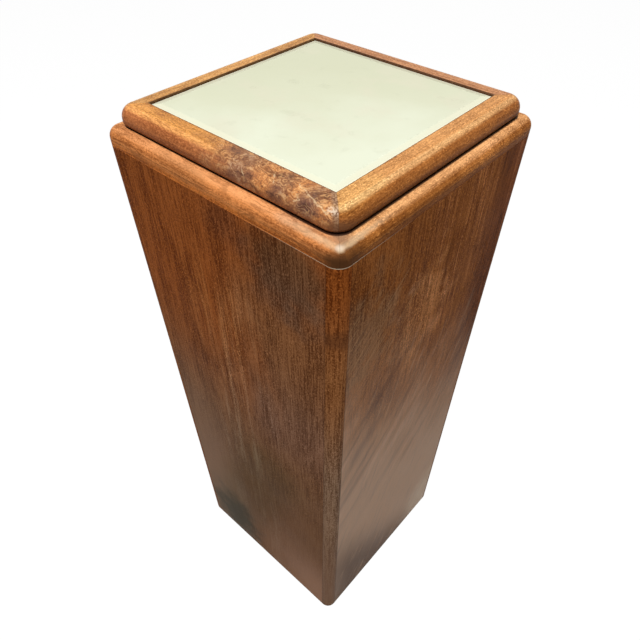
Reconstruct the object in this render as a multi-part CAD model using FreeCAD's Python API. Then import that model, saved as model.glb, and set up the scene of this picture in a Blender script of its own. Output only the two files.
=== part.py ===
import FreeCAD, Part
import math
import os

# Lighted display pedestal in walnut: a tapered column with a moulded rim, a lift-off frame that holds a
# bevelled glass top, and a lamp inside. Lengths are in millimetres. The origin is on the floor under the
# middle of the column, +Z is up and the front faces -Y. What repeats on the four sides is made once for
# the front and turned about the middle.

# Overall sizes
height = 762.0                  # floor to the top of the lift-off frame
base_width = 280.0              # across the column at its lower edge
rim_width = 304.8               # across the tapered sides, carried up to the top of the rim
column_corner_radius = 13.0
glide_height = 3.0
rim_height = 19.5
shadow_gap = 1.5                # dark line between the rim and the lift-off frame
frame_height = 19.0

# Lift-off frame and its glass
frame_setback = 10.9            # frame's sides in from the rim's width
frame_rail_width = 24.5         # frame's side to its opening
frame_corner_radius = 16.0
frame_top_round = 13.0
frame_lower_round = 3.5
frame_arris = 0.8               # eased inner edge of the frame's top
ledge_width = 10.0              # the glass rests on this ledge
glass_thickness = 6.0
glass_recess = 0.8              # glass face below the frame's top
glass_bevel_width = 8.0
glass_bevel_drop = 1.4
glass_clearance = 0.6
glass_pad_diameter = 8.0
glass_pad_thickness = 1.0
bumper_diameter = 12.0
cleat_width = 10.0
cleat_height = 12.0
cleat_clearance = 1.0           # between the locating cleats and the rim's opening

# Rim
rim_round = 12.0
rim_arris = 0.5                 # fine groove where the rim meets the panels
least_flat = 0.5                # a rounded edge leaves at least this much of its wall

# Mitre splines, dowels and tongues
spline_thickness = 3.0
spline_width = 18.0
spline_margin = 8.0             # wood left at each end of a spline
dowel_diameter = 6.0
dowel_spacing = 160.0
dowel_depth_in_panel = 15.0
dowel_depth_in_rim = 11.0
tongue_thickness = 3.5
tongue_length = 5.0
post_web = 1.0                  # wood between the two grooves of a corner post
joint_clearance = 0.1           # glue room in grooves, slots and bored holes

# Column
panel_thickness = 12.7
board_thickness = 12.0
board_clearance = 0.2
board_corner_gap = 1.0
batten_size = 18.0
batten_end_gap = 2.0
bottom_screw_spacing = 140.0

# Wood screws
screw_head_diameter = 7.0
screw_shank_diameter = 3.5
screw_head_depth = 2.2
screw_point = 3.0
screw_slot_width = 0.9
screw_slot_depth = 0.9
cleat_screw_length = 19.0
cleat_screw_spacing = 120.0
board_screw_length = 25.0
lampholder_screw_length = 18.0

# Glides
glide_diameter = 22.0
glide_face_diameter = 15.0
glide_edge_height = 1.2
glide_nail_diameter = 2.5
glide_nail_length = 10.0
glide_inset = 35.0              # glide's middle in from the column's lower edge

# Lamp shelf and lampholder
shelf_depth = 120.0
shelf_clearance = 0.6
shelf_screw_spacing = 80.0
flange_diameter = 80.0
flange_height = 8.0
flange_screw_spacing = 62.0
barrel_diameter = 46.0
lampholder_height = 44.0
lampholder_edge = 2.0           # eased top edge of the porcelain
socket_floor = 12.0             # porcelain under the screw shell
wiring_chamber_diameter = 24.0
wiring_chamber_height = 5.0
shell_wall = 0.8
shell_height = 30.0
shell_floor_hole = 14.0
shell_clearance = 0.3
contact_diameter = 9.0
contact_height = 3.0

# Bulb
bulb_diameter = 60.0
bulb_length = 110.0             # contact tip to the top of the bulb
bulb_headroom = 97.9            # top of the bulb to the underside of the glass top
bulb_seat_gap = 0.3
bulb_wall = 1.0
bulb_tip_diameter = 8.0
bulb_tip_height = 2.0
bulb_insulator_height = 4.0
bulb_insulator_margin = 2.1     # cap's lower edge round the insulator
cap_diameter = 26.2
cap_clearance = 0.5             # between the cap and the screw shell
cap_height = 24.0
cap_wall = 0.5
cap_groove_depth = 0.5
cap_thread_pitch = 3.63
cap_thread_turns = 4
neck_clearance = 0.1
neck_in_cap = 10.0
stem_height = 30.0
stem_tip_diameter = 6.0
support_spread = 24.0
support_rise = 20.0
support_diameter = 0.8
support_gap = 0.3

# Switch in the back panel
switch_level = 115.0
switch_can_diameter = 28.0
switch_can_length = 20.0
switch_web = 5.0                # panel left in front of the switch
switch_clearance = 0.3
switch_neck_diameter = 10.2
switch_neck_reach = 3.0         # neck standing out of the panel
switch_nut_diameter = 16.0
switch_nut_height = 2.2
switch_nut_knurls = 24
switch_nut_knurl_radius = 0.6
switch_shaft_diameter = 5.0
switch_shaft_clearance = 0.05
switch_shaft_in_can = 7.0
switch_knob_diameter = 20.0     # a flat knob that stays behind the rim's outline
switch_knob_length = 6.2
switch_knob_gap = 0.6
switch_knob_edge = 1.2
switch_knob_flutes = 12
switch_knob_flute_radius = 1.4
switch_shaft_in_knob = 4.2

# Cord inlet in the back panel
inlet_level = 60.0
inlet_bore_diameter = 8.5
inlet_barrel_diameter = 14.0
inlet_flange_diameter = 20.0
inlet_flange_height = 2.5
inlet_lip_diameter = 16.0
inlet_lip_height = 2.0

# Lead from the switch to the lampholder
lead_diameter = 5.5
lead_offset = 4.3               # middle of the lead from the panel's inner face
lead_drop = 60.0                # level run of the lead below the shelf
lead_bend = 58.0
lead_end_in_can = 3.5
lead_hole_clearance = 0.1
clip_count = 3
clip_wall = 1.75
clip_height = 8.0
clip_ear_length = 8.5
clip_ear_thickness = 3.0
clip_nail_diameter = 1.8
clip_nail_head_diameter = 4.0
clip_nail_head_height = 1.0
clip_nail_length = 11.0

# Levels and half widths that follow from the sizes
column_bottom = glide_height
frame_bottom = height - frame_height
rim_top = frame_bottom - shadow_gap
seam = rim_top - rim_height
lean = (rim_width - base_width) / 2 / (rim_top - column_bottom)
lean_angle = math.degrees(math.atan(lean))
board_top = column_bottom + board_thickness
glass_top_level = height - glass_recess
glass_bottom_level = glass_top_level - glass_thickness
ledge_level = glass_bottom_level - glass_pad_thickness
frame_width = rim_width - 2 * frame_setback
opening_half = frame_width / 2 - frame_rail_width
ledge_half = opening_half - ledge_width
cleat_half = ledge_half + cleat_width
rim_opening_half = cleat_half + cleat_clearance
frame_axis = frame_width / 2 - frame_corner_radius
tongue_offset = (panel_thickness - tongue_thickness) / 2
post_size = max(column_corner_radius, tongue_offset + tongue_thickness + tongue_length + post_web)
bulb_bottom = glass_bottom_level - bulb_headroom - bulb_length
contact_top = bulb_bottom - bulb_seat_gap
socket_level = contact_top - contact_height
shelf_top = socket_level - socket_floor
shelf_level = shelf_top - board_thickness
shell_inner_diameter = cap_diameter + 2 * cap_clearance
bulb_insulator_diameter = cap_diameter - 2 * bulb_insulator_margin

UP = FreeCAD.Vector(0, 0, 1)
ORIGIN = FreeCAD.Vector(0, 0, 0)
SIDES = ("front", "right", "back", "left")
CORNERS = ("front_right", "back_right", "back_left", "front_left")


def point(x, y, z):
    return FreeCAD.Vector(x, y, z)


def half_width(level):
    """Half of the column's outer width at a level."""
    return base_width / 2 + lean * (level - column_bottom)


rim_axis = half_width(seam) - column_corner_radius


def turned_to(side, shape):
    """Copy of a front piece, turned about the middle to another side."""
    copy = shape.copy()
    copy.rotate(ORIGIN, UP, 90 * side)
    return copy


def on_four_sides(shape):
    return [turned_to(side, shape) for side in range(4)]


def polygon_face(points):
    return Part.Face(Part.makePolygon(points + points[:1]))


def prismatoid(lower, upper):
    """Closed solid between two polygons whose matching sides are parallel."""
    faces = [polygon_face(lower), polygon_face(upper)]
    for index in range(len(lower)):
        after = (index + 1) % len(lower)
        faces.append(polygon_face([lower[index], lower[after], upper[after], upper[index]]))
    solid = Part.makeSolid(Part.makeShell(faces))
    if solid.Volume < 0:
        solid.reverse()
    return solid


def outline_face(points, arcs, place):
    """Flat face through points; arcs gives a middle point for each side that is round."""
    corners = [place(*pair) for pair in points]
    edges = []
    for index, start in enumerate(corners):
        end = corners[(index + 1) % len(corners)]
        if index in arcs:
            edges.append(Part.Arc(start, place(*arcs[index]), end).toShape())
        else:
            edges.append(Part.LineSegment(start, end).toShape())
    return Part.Face(Part.Wire(edges))


def on_circle(centre, radius, degrees):
    angle = math.radians(degrees)
    return centre[0] + radius * math.cos(angle), centre[1] + radius * math.sin(angle)


def turned_solid(points, arcs=None):
    """Solid of revolution about Z from (radius, level) points."""
    face = outline_face(points, arcs or {}, lambda radius, level: point(radius, 0, level))
    return face.revolve(ORIGIN, UP, 360)


def upright_cylinder(diameter, low, high, x=0.0, y=0.0):
    return Part.makeCylinder(diameter / 2, high - low, point(x, y, low))


def mitred_block(inner, outer, low, high):
    """Front member of a square ring, cut on the diagonals."""
    plan = [(-inner, -inner), (inner, -inner), (outer, -outer), (-outer, -outer)]
    face = polygon_face([point(x, y, low) for x, y in plan])
    return face.extrude(point(0, 0, high - low))


def moulded_rail(axis, profile, arcs, blocks):
    """Front rail of a mitred frame: its moulding turns each corner about an upright axis."""
    left = outline_face(profile, arcs, lambda reach, level: point(-axis, -axis - reach, level))
    right = left.copy()
    right.translate(point(2 * axis, 0, 0))
    straight = left.extrude(point(2 * axis, 0, 0))
    left_turn = left.revolve(point(-axis, -axis, 0), UP, -45)
    right_turn = right.revolve(point(axis, -axis, 0), UP, 45)
    return straight.multiFuse([left_turn, right_turn] + blocks).removeSplitter()


def on_back(shape, level):
    """Place a shape made with the back panel's outer face at y = 0 and +Y pointing out of it."""
    placed = shape.copy()
    placed.rotate(ORIGIN, point(1, 0, 0), -lean_angle)
    placed.translate(point(0, half_width(level), level))
    return placed


def along_back(depth, along, level):
    """Point at a depth inside the back panel's outer face and a distance up its slope."""
    tilt = math.radians(lean_angle)
    y = half_width(level) - depth * math.cos(tilt) + along * math.sin(tilt)
    return point(0, y, level + depth * math.sin(tilt) + along * math.cos(tilt))


def outward_cylinder(diameter, inner, outer):
    """Cylinder along Y for pieces in the back panel."""
    return Part.makeCylinder(diameter / 2, outer - inner, point(0, inner, 0), point(0, 1, 0))


def outward_turned(points):
    """Solid of revolution about Y from (radius, y) points, for pieces in the back panel."""
    face = outline_face(points, {}, lambda radius, y: point(radius, y, 0))
    return face.revolve(ORIGIN, point(0, 1, 0), 360)


def wood_screw(length):
    """Countersunk slotted screw with its head's face at the origin, pointing up."""
    head = screw_head_diameter / 2
    shank = screw_shank_diameter / 2
    body = turned_solid([(0, 0), (head, 0), (shank, screw_head_depth), (shank, length - screw_point),
                         (0, length)])
    slot = Part.makeBox(screw_head_diameter, screw_slot_width, screw_slot_depth,
                        point(-head, -screw_slot_width / 2, 0))
    return body.cut(slot)


def screw_hole(length):
    head = screw_head_diameter / 2 + joint_clearance
    shank = screw_shank_diameter / 2 + joint_clearance
    end = length + joint_clearance
    return turned_solid([(0, 0), (head, 0), (shank, screw_head_depth), (shank, end), (0, end)])


def pointing_up(shape, x, y, level):
    placed = shape.copy()
    placed.translate(point(x, y, level))
    return placed


def pointing_down(shape, x, y, level):
    placed = shape.copy()
    placed.rotate(ORIGIN, point(1, 0, 0), 180)
    placed.translate(point(x, y, level))
    return placed


def spread(spacing):
    """Two places at equal distances from the middle."""
    return (-spacing / 2, spacing / 2)


def mitre_spline(inner_reach, outer_reach, middle_level, clearance):
    """Flat spline across the front right mitre, or its slot when a clearance is given."""
    start = inner_reach + spline_margin - clearance
    length = outer_reach - inner_reach - 2 * spline_margin + 2 * clearance
    width = spline_width + 2 * clearance
    thickness = spline_thickness + 2 * clearance
    spline = Part.makeBox(length, width, thickness, point(start, -width / 2, middle_level - thickness / 2))
    spline.rotate(ORIGIN, UP, -45)
    return spline


def spline_pair(inner_reach, outer_reach, middle_level):
    """Four splines of a frame, and the two slots that its front rail needs."""
    spline = mitre_spline(inner_reach, outer_reach, middle_level, 0)
    slot = mitre_spline(inner_reach, outer_reach, middle_level, joint_clearance)
    return on_four_sides(spline), [slot, turned_to(3, slot)]


def frame_profile():
    """Outer edge of the lift-off frame: a wide top round and a small lower round."""
    radius = frame_corner_radius
    top_round = min(frame_top_round, radius - least_flat)
    lower_round = min(frame_lower_round, frame_height - top_round - least_flat)
    top_centre = (radius - top_round, height - top_round)
    lower_centre = (radius - lower_round, frame_bottom + lower_round)
    points = [(0, frame_bottom), (lower_centre[0], frame_bottom), (radius, lower_centre[1]),
              (radius, top_centre[1]), (top_centre[0], height), (0, height)]
    arcs = {1: on_circle(lower_centre, lower_round, -45), 3: on_circle(top_centre, top_round, 45)}
    return points, arcs


def rim_profile():
    """Outer edge of the rim: flush with the tapered sides below, with one large round above."""
    tilt = math.radians(lean_angle)
    rounding = min(rim_round, column_corner_radius - least_flat, rim_height - rim_arris - least_flat)
    centre_level = rim_top - rounding
    face_reach = column_corner_radius + lean * (centre_level - seam)
    centre = (face_reach - rounding / math.cos(tilt), centre_level)
    points = [(0, seam), (column_corner_radius - rim_arris, seam),
              (column_corner_radius + lean * rim_arris, seam + rim_arris),
              on_circle(centre, rounding, -lean_angle), (centre[0], rim_top), (0, rim_top)]
    return points, {3: on_circle(centre, rounding, (90 - lean_angle) / 2)}


def eased_inner_edge(rail):
    """Round the straight edge between the frame's top and its opening."""
    for edge in rail.Edges:
        ends = [vertex.Point for vertex in edge.Vertexes]
        on_top = all(abs(end.z - height) < 1e-6 for end in ends)
        at_opening = all(abs(end.y + opening_half) < 1e-6 for end in ends)
        if on_top and at_opening:
            return rail.makeFillet(frame_arris, [edge])
    raise ValueError("the frame has no inner top edge")


def lift_off_frame(nodes):
    points, arcs = frame_profile()
    blocks = [mitred_block(ledge_half, frame_axis, frame_bottom, ledge_level),
              mitred_block(opening_half, frame_axis, ledge_level, height)]
    rail = eased_inner_edge(moulded_rail(frame_axis, points, arcs, blocks))
    inner_reach = ledge_half * math.sqrt(2)
    outer_reach = frame_axis * math.sqrt(2) + frame_corner_radius
    splines, slots = spline_pair(inner_reach, outer_reach, (frame_bottom + ledge_level) / 2)
    cleat_bottom = frame_bottom - cleat_height
    screw_row = -(ledge_half + cleat_half) / 2
    cleat = mitred_block(ledge_half, cleat_half, cleat_bottom, frame_bottom)
    screws = []
    for x in spread(cleat_screw_spacing):
        hole = pointing_up(screw_hole(cleat_screw_length), x, screw_row, cleat_bottom)
        cleat = cleat.cut(hole)
        rail = rail.cut(hole)
        screws += on_four_sides(pointing_up(wood_screw(cleat_screw_length), x, screw_row, cleat_bottom))
    rail = rail.cut(slots)
    for side, name in enumerate(SIDES):
        nodes["top_frame_rail_" + name] = turned_to(side, rail)
        nodes["locating_cleat_" + name] = turned_to(side, cleat)
    nodes["top_frame_splines"] = Part.makeCompound(splines)
    nodes["cleat_screws"] = Part.makeCompound(screws)
    bumper_place = (rim_opening_half + frame_width / 2 - frame_lower_round) / 2
    bumper = upright_cylinder(bumper_diameter, rim_top, frame_bottom, bumper_place, -bumper_place)
    nodes["felt_bumpers"] = Part.makeCompound(on_four_sides(bumper))
    pad_place = opening_half - ledge_width / 2
    pad = upright_cylinder(glass_pad_diameter, ledge_level, glass_bottom_level, pad_place, -pad_place)
    nodes["glass_pads"] = Part.makeCompound(on_four_sides(pad))


def square_corners(half, level):
    return [point(x * half, y * half, level) for x, y in ((-1, -1), (1, -1), (1, 1), (-1, 1))]


def glass_top(nodes):
    outer = opening_half - glass_clearance
    bevel_level = glass_top_level - glass_bevel_drop
    plate = prismatoid(square_corners(outer, glass_bottom_level), square_corners(outer, bevel_level))
    crown = prismatoid(square_corners(outer, bevel_level),
                       square_corners(outer - glass_bevel_width, glass_top_level))
    nodes["glass_top"] = plate.fuse(crown).removeSplitter()


def panel_section(level):
    """Front panel's outline at a level, with a tongue on each edge."""
    outer = half_width(level)
    shoulder = outer - post_size
    tip = shoulder + tongue_length
    face = -outer
    rows = [(shoulder, face), (shoulder, face + tongue_offset), (tip, face + tongue_offset),
            (tip, face + tongue_offset + tongue_thickness),
            (shoulder, face + tongue_offset + tongue_thickness), (shoulder, face + panel_thickness)]
    right = [point(x, y, level) for x, y in rows]
    left = [point(-x, y, level) for x, y in reversed(rows)]
    return right + left


def corner_post():
    """Front right post: a quarter-round corner with a groove for each panel."""
    radius = column_corner_radius
    groove = tongue_offset - joint_clearance
    groove_end = tongue_offset + tongue_thickness + joint_clearance
    groove_floor = post_size - tongue_length - joint_clearance
    outline = [(radius, 0), (0, radius), (0, post_size), (groove, post_size), (groove, groove_floor),
               (groove_end, groove_floor), (groove_end, post_size), (post_size, post_size),
               (post_size, groove_end), (groove_floor, groove_end), (groove_floor, groove),
               (post_size, groove), (post_size, 0)]
    if post_size == radius:
        outline = [pair for pair in outline if pair not in ((0, post_size), (post_size, 0))]
    bottom = half_width(column_bottom)
    rise = seam - column_bottom
    face = outline_face(outline, {0: on_circle((radius, radius), radius, 225)},
                        lambda across, along: point(bottom - across, along - bottom, column_bottom))
    return face.extrude(point(lean * rise, -lean * rise, rise))


def column(nodes):
    points, arcs = rim_profile()
    rim = moulded_rail(rim_axis, points, arcs, [mitred_block(rim_opening_half, rim_axis, seam, rim_top)])
    inner_reach = rim_opening_half * math.sqrt(2)
    outer_reach = rim_axis * math.sqrt(2) + column_corner_radius
    splines, slots = spline_pair(inner_reach, outer_reach, (seam + rim_top) / 2)
    rim = rim.cut(slots)
    panel = prismatoid(panel_section(column_bottom), panel_section(seam))
    dowel_row = panel_thickness / 2 - half_width(seam)
    dowel_bottom = seam - dowel_depth_in_panel
    dowel_top = seam + dowel_depth_in_rim
    dowels = []
    for x in spread(dowel_spacing):
        hole = upright_cylinder(dowel_diameter + 2 * joint_clearance, dowel_bottom - joint_clearance,
                                dowel_top + joint_clearance, x, dowel_row)
        rim = rim.cut(hole)
        panel = panel.cut(hole)
        dowels += on_four_sides(upright_cylinder(dowel_diameter, dowel_bottom, dowel_top, x, dowel_row))
    post = corner_post()
    for side, name in enumerate(SIDES):
        nodes["rim_rail_" + name] = turned_to(side, rim)
        nodes["panel_" + name] = turned_to(side, panel)
        nodes["corner_post_" + CORNERS[side]] = turned_to(side, post)
    nodes["rim_splines"] = Part.makeCompound(splines)
    nodes["rim_dowels"] = Part.makeCompound(dowels)


def batten(bottom, half_length):
    """Front batten with its outer face along the leaning panel."""
    def section(level):
        outer = panel_thickness - half_width(level)
        inner = panel_thickness - half_width(bottom) + batten_size
        plan = [(-half_length, outer), (half_length, outer), (half_length, inner), (-half_length, inner)]
        return [point(x, y, level) for x, y in plan]
    return prismatoid(section(bottom), section(bottom + batten_size))


def bottom_board_section(level):
    half = half_width(level) - panel_thickness - board_clearance
    cut = 2 * (post_size - panel_thickness) + board_corner_gap
    plan = [(half - cut, -half), (half, cut - half), (half, half - cut), (half - cut, half)]
    plan += [(-x, -y) for x, y in plan]
    return [point(x, y, level) for x, y in plan]


def base(nodes):
    board = prismatoid(bottom_board_section(column_bottom), bottom_board_section(board_top))
    inner_half = half_width(board_top) - panel_thickness
    strip = batten(board_top, inner_half - batten_size - batten_end_gap)
    screw_row = batten_size / 2 - inner_half
    screws = []
    for x in spread(bottom_screw_spacing):
        hole = pointing_up(screw_hole(board_screw_length), x, screw_row, column_bottom)
        strip = strip.cut(hole)
        board = board.cut(on_four_sides(hole))
        screws += on_four_sides(pointing_up(wood_screw(board_screw_length), x, screw_row, column_bottom))
    for side, name in enumerate(SIDES):
        nodes["bottom_batten_" + name] = turned_to(side, strip)
    nodes["bottom_screws"] = Part.makeCompound(screws)
    place = base_width / 2 - glide_inset
    rim_radius = glide_diameter / 2
    nail = glide_nail_diameter / 2
    nail_top = glide_height + glide_nail_length
    edge_level = glide_height - glide_edge_height
    glide = turned_solid([(0, 0), (glide_face_diameter / 2, 0), (rim_radius, edge_level),
                          (rim_radius, glide_height), (nail, glide_height), (nail, nail_top - nail),
                          (0, nail_top)])
    nail_hole = upright_cylinder(glide_nail_diameter + 2 * joint_clearance, column_bottom,
                                 nail_top + joint_clearance, place, -place)
    nodes["glides"] = Part.makeCompound(on_four_sides(pointing_up(glide, place, -place, 0)))
    nodes["bottom_board"] = board.cut(on_four_sides(nail_hole))


def lamp_shelf(nodes):
    narrowest = min(half_width(shelf_level), half_width(shelf_top))
    half_length = narrowest - panel_thickness - shelf_clearance
    shelf = Part.makeBox(2 * half_length, shelf_depth, board_thickness,
                         point(-half_length, -shelf_depth / 2, shelf_level))
    strip_bottom = shelf_level - batten_size
    strip = batten(strip_bottom, shelf_depth / 2)
    screw_row = batten_size / 2 + panel_thickness - half_width(strip_bottom)
    screws = []
    for x in spread(shelf_screw_spacing):
        hole = pointing_down(screw_hole(board_screw_length), x, screw_row, shelf_top)
        screw = pointing_down(wood_screw(board_screw_length), x, screw_row, shelf_top)
        strip = strip.cut(hole)
        for side in (1, 3):
            shelf = shelf.cut(turned_to(side, hole))
            screws.append(turned_to(side, screw))
    for side in (1, 3):
        nodes["shelf_batten_" + SIDES[side]] = turned_to(side, strip)
    nodes["shelf_screws"] = Part.makeCompound(screws)
    lead_hole = upright_cylinder(lead_diameter + 2 * lead_hole_clearance, shelf_level, shelf_top)
    shelf = shelf.cut(lead_hole)
    for x in spread(flange_screw_spacing):
        shelf = shelf.cut(pointing_down(screw_hole(lampholder_screw_length), x, 0, shelf_top + flange_height))
    nodes["lamp_shelf"] = shelf


def lampholder(nodes):
    top = shelf_top + lampholder_height
    flange_top = shelf_top + flange_height
    bore = shell_inner_diameter / 2 + shell_wall + shell_clearance
    barrel = barrel_diameter / 2
    edge_centre = (barrel - lampholder_edge, top - lampholder_edge)
    chamber = wiring_chamber_diameter / 2
    chamber_top = shelf_top + wiring_chamber_height
    porcelain = turned_solid(
        [(0, chamber_top), (chamber, chamber_top), (chamber, shelf_top), (flange_diameter / 2, shelf_top),
         (flange_diameter / 2, flange_top), (barrel, flange_top), (barrel, edge_centre[1]),
         (edge_centre[0], top), (bore, top), (bore, socket_level), (0, socket_level)],
        {6: on_circle(edge_centre, lampholder_edge, 45)})
    screws = []
    for x in spread(flange_screw_spacing):
        porcelain = porcelain.cut(pointing_down(screw_hole(lampholder_screw_length), x, 0, flange_top))
        screws.append(pointing_down(wood_screw(lampholder_screw_length), x, 0, flange_top))
    nodes["lampholder_body"] = porcelain
    nodes["lampholder_screws"] = Part.makeCompound(screws)
    inner = shell_inner_diameter / 2
    outer = inner + shell_wall
    shell_top = socket_level + shell_height
    hole = shell_floor_hole / 2
    nodes["lampholder_shell"] = turned_solid(
        [(hole, socket_level), (outer, socket_level), (outer, shell_top), (inner, shell_top),
         (inner, socket_level + shell_wall), (hole, socket_level + shell_wall)])
    nodes["lampholder_contact"] = upright_cylinder(contact_diameter, socket_level, contact_top)


def bulb_cap_profile(bottom, top):
    """Half outline of the cap from the insulator to its top, with rolled grooves for its thread."""
    radius = cap_diameter / 2
    first = (bottom + top - cap_thread_pitch * cap_thread_turns) / 2
    points = [(bulb_insulator_diameter / 2, bottom), (radius, bottom), (radius, first)]
    arcs = {}
    for turn in range(cap_thread_turns):
        low = first + turn * cap_thread_pitch
        arcs[len(points) - 1] = (radius - cap_groove_depth, low + cap_thread_pitch / 2)
        points.append((radius, low + cap_thread_pitch))
    points.append((radius, top))
    return points, arcs


def bulb_cap(nodes, cap_bottom, cap_top):
    outside, groove_arcs = bulb_cap_profile(cap_bottom, cap_top)
    inner = cap_diameter / 2 - cap_groove_depth - cap_wall
    lead_in = bulb_insulator_diameter / 2
    floor = cap_bottom + cap_wall
    profile = outside + [(inner, cap_top), (inner, floor), (lead_in, floor)]
    nodes["bulb_cap"] = turned_solid(profile, groove_arcs)
    tip = bulb_tip_diameter / 2
    tip_top = bulb_bottom + bulb_tip_height
    nodes["bulb_tip_contact"] = turned_solid([(0, bulb_bottom), (tip, tip_top), (0, tip_top)],
                                             {0: on_circle((0, tip_top), bulb_tip_height, -60)})
    nodes["bulb_insulator"] = turned_solid([(0, tip_top), (tip, tip_top), (lead_in, cap_bottom),
                                            (lead_in, floor), (0, floor)])


def bulb_outline(radius, neck, neck_bottom, shoulder, middle, thickness):
    """Half outline of the bulb's glass, offset inwards by a thickness."""
    width = radius - neck
    rise = middle - shoulder
    sweep = (width ** 2 + rise ** 2) / (4 * width)
    half_turn = math.degrees(math.asin(rise / 2 / sweep))
    neck_centre = (neck + sweep, shoulder)
    side_centre = (radius - sweep, middle)
    neck_sweep = sweep + thickness
    side_sweep = sweep - thickness
    join = on_circle(neck_centre, neck_sweep, 180 - half_turn)
    points = [(neck - thickness, neck_bottom), (neck - thickness, shoulder), join,
              (radius - thickness, middle), (0, middle + radius - thickness)]
    arcs = {1: on_circle(neck_centre, neck_sweep, 180 - half_turn / 2),
            2: on_circle(side_centre, side_sweep, -half_turn / 2),
            3: on_circle((0, middle), radius - thickness, 45)}
    return points, arcs


def bulb_glass(nodes, cap_top):
    radius = bulb_diameter / 2
    neck = cap_diameter / 2 - cap_groove_depth - cap_wall - neck_clearance
    neck_bottom = cap_top - neck_in_cap
    middle = bulb_bottom + bulb_length - radius
    shapes = []
    for thickness in (0, bulb_wall):
        points, arcs = bulb_outline(radius, neck, neck_bottom, cap_top, middle, thickness)
        shapes.append(turned_solid(points + [(0, neck_bottom)], arcs))
    nodes["bulb_envelope"] = shapes[0].cut(shapes[1])
    stem_radius = neck - bulb_wall
    stem_tip = stem_tip_diameter / 2
    stem_top = neck_bottom + stem_height
    stem = turned_solid([(0, neck_bottom), (stem_radius, neck_bottom), (stem_radius, neck_bottom + bulb_wall),
                         (stem_tip, (neck_bottom + stem_top) / 2), (stem_tip, stem_top), (0, stem_top)])
    wire_radius = support_diameter / 2
    supports = []
    for side in (-1, 1):
        foot = point(side * stem_tip / 2, 0, stem_top + support_gap)
        end = point(side * support_spread / 2, 0, stem_top + support_rise)
        supports.append(Part.makeCylinder(wire_radius, (end - foot).Length, foot, end - foot))
    filament = Part.makeCylinder(wire_radius, support_spread,
                                 point(-support_spread / 2, 0, stem_top + support_rise + support_diameter),
                                 point(1, 0, 0))
    nodes["bulb_filament_mount"] = Part.makeCompound([stem] + supports + [filament])


def bulb(nodes):
    cap_bottom = bulb_bottom + bulb_tip_height + bulb_insulator_height
    cap_top = cap_bottom + cap_height
    bulb_cap(nodes, cap_bottom, cap_top)
    bulb_glass(nodes, cap_top)


def turn_switch(nodes):
    neck = switch_neck_diameter / 2
    shaft = switch_shaft_diameter
    bore = shaft + 2 * switch_shaft_clearance
    can_end = -switch_web - switch_can_length
    shaft_end = -switch_web - switch_shaft_in_can
    can = outward_cylinder(switch_can_diameter, can_end, -switch_web)
    can = can.cut(outward_cylinder(bore, shaft_end - switch_clearance, -switch_web))
    can = can.cut(upright_cylinder(lead_diameter + 2 * lead_hole_clearance,
                                   switch_can_diameter / 2 - lead_end_in_can, switch_can_diameter,
                                   0, -panel_thickness - lead_offset))
    nodes["switch_can"] = on_back(can, switch_level)
    tube = outward_turned([(bore / 2, -switch_web), (neck, -switch_web), (neck, switch_neck_reach),
                           (bore / 2, switch_neck_reach)])
    nodes["switch_neck"] = on_back(tube, switch_level)
    nut = outward_cylinder(switch_nut_diameter, 0, switch_nut_height)
    nut = nut.cut(outward_cylinder(switch_neck_diameter + 2 * joint_clearance, 0, switch_nut_height))
    knurl = Part.makeCylinder(switch_nut_knurl_radius, switch_nut_height,
                              point(switch_nut_diameter / 2, 0, 0), point(0, 1, 0))
    nut = nut.cut(around_outward_axis(knurl, switch_nut_knurls))
    nodes["switch_ring_nut"] = on_back(nut, switch_level)
    knob_start = switch_neck_reach + switch_knob_gap
    knob_end = knob_start + switch_knob_length
    shaft_tip = knob_start + switch_shaft_in_knob
    nodes["switch_shaft"] = on_back(outward_cylinder(shaft, shaft_end, shaft_tip), switch_level)
    radius = switch_knob_diameter / 2
    knob = outward_turned([(0, knob_start), (radius, knob_start), (radius, knob_end - switch_knob_edge),
                           (radius - switch_knob_edge, knob_end), (0, knob_end)])
    knob = knob.cut(outward_cylinder(shaft + 2 * joint_clearance, knob_start, shaft_tip))
    flute = Part.makeCylinder(switch_knob_flute_radius, switch_knob_length, point(radius, knob_start, 0),
                              point(0, 1, 0))
    knob = knob.cut(around_outward_axis(flute, switch_knob_flutes))
    nodes["switch_knob"] = on_back(knob, switch_level)


def around_outward_axis(shape, count):
    """Evenly spaced copies round the Y axis."""
    copies = []
    for index in range(count):
        copy = shape.copy()
        copy.rotate(ORIGIN, point(0, 1, 0), 360 * index / count)
        copies.append(copy)
    return copies


def cord_inlet(nodes):
    bore = inlet_bore_diameter / 2
    barrel = inlet_barrel_diameter / 2
    lip = inlet_lip_diameter / 2
    flange = inlet_flange_diameter / 2
    inner_end = -panel_thickness - inlet_lip_height
    flange_edge = inlet_flange_height / 2
    bush = outward_turned([(bore, inner_end), (barrel, inner_end), (lip, -panel_thickness),
                           (barrel, -panel_thickness), (barrel, 0), (flange, 0), (flange, flange_edge),
                           (flange - flange_edge, inlet_flange_height), (bore, inlet_flange_height)])
    nodes["cord_inlet_bush"] = on_back(bush, inlet_level)


def back_panel_holes(panel):
    """Bore the back panel for the switch and the cord inlet."""
    through = panel_thickness
    neck_hole = outward_cylinder(switch_neck_diameter + 2 * joint_clearance, -through, through)
    can_hole = outward_cylinder(switch_can_diameter + 2 * switch_clearance, -2 * through, -switch_web)
    inlet_hole = outward_cylinder(inlet_barrel_diameter + 2 * joint_clearance, -2 * through, through)
    return panel.cut([on_back(neck_hole, switch_level), on_back(can_hole, switch_level),
                      on_back(inlet_hole, inlet_level)])


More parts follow.
